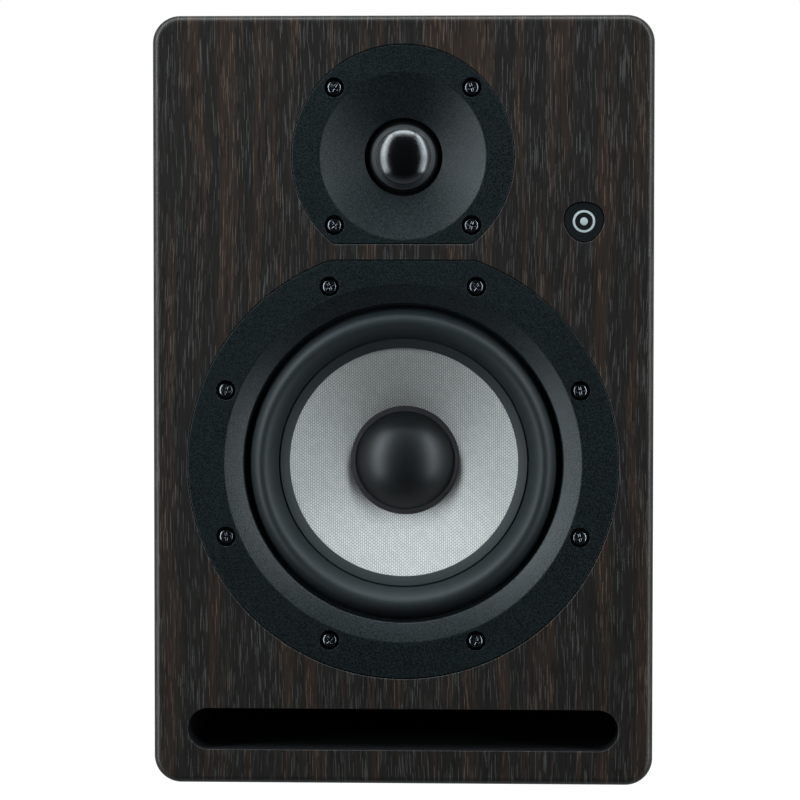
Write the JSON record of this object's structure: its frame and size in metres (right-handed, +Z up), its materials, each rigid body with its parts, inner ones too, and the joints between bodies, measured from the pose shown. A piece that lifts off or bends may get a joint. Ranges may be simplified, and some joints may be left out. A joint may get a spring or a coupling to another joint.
{
  "type": "bookshelf speaker",
  "caption": "Two-way bookshelf loudspeaker: wood-wrapped box with a screwed-in woofer, dome tweeter, front slot port and rear binding posts.",
  "frame": {"origin": "centre of the base, on the surface the cabinet stands on", "axes": "+Z up along the cabinet's height, front towards -Y, +X to the right seen from the front"},
  "size_m": [0.22, 0.27, 0.338],
  "materials": {
    "wood_wrap": "satin dark wenge grain wrap over fibreboard",
    "fibreboard": "raw, matt",
    "black_plastic": "satin, fine moulded texture",
    "badge": "gloss black with a plain white ring",
    "black_screws": "black oxide",
    "painted_basket": "black powder coat",
    "plated_steel": "zinc plated",
    "ferrite": "matt dark grey",
    "surround_rubber": "satin",
    "gasket_foam": "closed cell foam",
    "glass_fibre_cone": "woven, coated, satin silver grey",
    "dust_cap": "coated, matt to satin",
    "spider_cloth": "resin treated weave",
    "coil_former": "smooth",
    "copper_wire": "enamelled copper",
    "coated_silk": "coated, glossy",
    "gold_plate": "polished plating",
    "red_plastic": "gloss",
    "black_gloss_plastic": "gloss",
    "wadding": "fluffy",
    "circuit_board": "satin resist",
    "capacitor_film": "satin",
    "resistor_ceramic": "matt"
  },
  "bodies": {
    "cabinet": {"attenuating_resistor": "resistor_ceramic", "badge_disc": "badge", "bottom_panel": "wood_wrap", "crossover_board": "circuit_board", "front_baffle": "wood_wrap", "left_damping_pad": "wadding", "left_side_panel": "wood_wrap", "negative_post_stud": "gold_plate", "port_shelf": "fibreboard", "positive_post_stud": "gold_plate", "rear_panel": "wood_wrap", "right_damping_pad": "wadding", "right_side_panel": "wood_wrap", "terminal_cup": "black_plastic", "top_panel": "wood_wrap", "tweeter_capacitor": "capacitor_film", "tweeter_faceplate": "black_plastic", "tweeter_inductor": "copper_wire", "tweeter_magnet": "ferrite", "tweeter_rear_chamber": "black_plastic", "tweeter_screw_1": "black_screws", "tweeter_screw_2": "black_screws", "tweeter_screw_3": "black_screws", "tweeter_screw_4": "black_screws", "tweeter_surround": "coated_silk", "tweeter_top_plate": "plated_steel", "tweeter_yoke": "plated_steel", "window_brace": "fibreboard", "woofer_basket": "painted_basket", "woofer_capacitor": "capacitor_film", "woofer_gasket": "gasket_foam", "woofer_inductor": "copper_wire", "woofer_left_lead": "copper_wire", "woofer_magnet": "ferrite", "woofer_right_lead": "copper_wire", "woofer_screw_1": "black_screws", "woofer_screw_2": "black_screws", "woofer_screw_3": "black_screws", "woofer_screw_4": "black_screws", "woofer_screw_5": "black_screws", "woofer_screw_6": "black_screws", "woofer_screw_7": "black_screws", "woofer_screw_8": "black_screws", "woofer_spider": "spider_cloth", "woofer_surround": "surround_rubber", "woofer_terminal_strip": "fibreboard", "woofer_top_plate": "plated_steel", "woofer_trim_ring": "black_plastic", "woofer_yoke": "plated_steel"},
    "woofer_cone_assembly": {"woofer_cone": "glass_fibre_cone", "woofer_dust_cap": "dust_cap", "woofer_coil_former": "coil_former", "woofer_coil_winding": "copper_wire"},
    "tweeter_dome_assembly": {"tweeter_dome": "coated_silk", "tweeter_coil": "copper_wire"},
    "positive_washer": {"positive_post_washer": "gold_plate"},
    "positive_cap": {"positive_post_cap": "red_plastic"},
    "negative_washer": {"negative_post_washer": "gold_plate"},
    "negative_cap": {"negative_post_cap": "black_gloss_plastic"}
  },
  "joints": [
    {"name": "woofer_travel", "type": "slide", "parent": "cabinet", "child": "woofer_cone_assembly", "axis": [0, -1, 0], "range_m": [-0.006, 0.006], "stiffness_N_per_m": 1200, "deforming": ["woofer_surround", "woofer_spider", "woofer_left_lead", "woofer_right_lead"]},
    {"name": "tweeter_travel", "type": "slide", "parent": "cabinet", "child": "tweeter_dome_assembly", "axis": [0, -1, 0], "range_m": [-0.0005, 0.0005], "stiffness_N_per_m": 100, "deforming": ["tweeter_surround"]},
    {"name": "positive_post_travel", "type": "slide", "parent": "cabinet", "child": "positive_washer", "axis": [0, 1, 0], "range_m": [0, 0.004]},
    {"name": "positive_post_turn", "type": "hinge", "parent": "positive_washer", "child": "positive_cap", "pos_m": [-0.00953, 0.12, 0.09], "axis": [0, 1, 0], "range_deg": [0, 1440]},
    {"name": "negative_post_travel", "type": "slide", "parent": "cabinet", "child": "negative_washer", "axis": [0, 1, 0], "range_m": [0, 0.004]},
    {"name": "negative_post_turn", "type": "hinge", "parent": "negative_washer", "child": "negative_cap", "pos_m": [0.00953, 0.12, 0.09], "axis": [0, 1, 0], "range_deg": [0, 1440]}
  ],
  "couplings": [
    {"joint": "positive_post_turn", "follows": "positive_post_travel", "rad_per_m": 6283.2},
    {"joint": "negative_post_turn", "follows": "negative_post_travel", "rad_per_m": 6283.2}
  ]
}
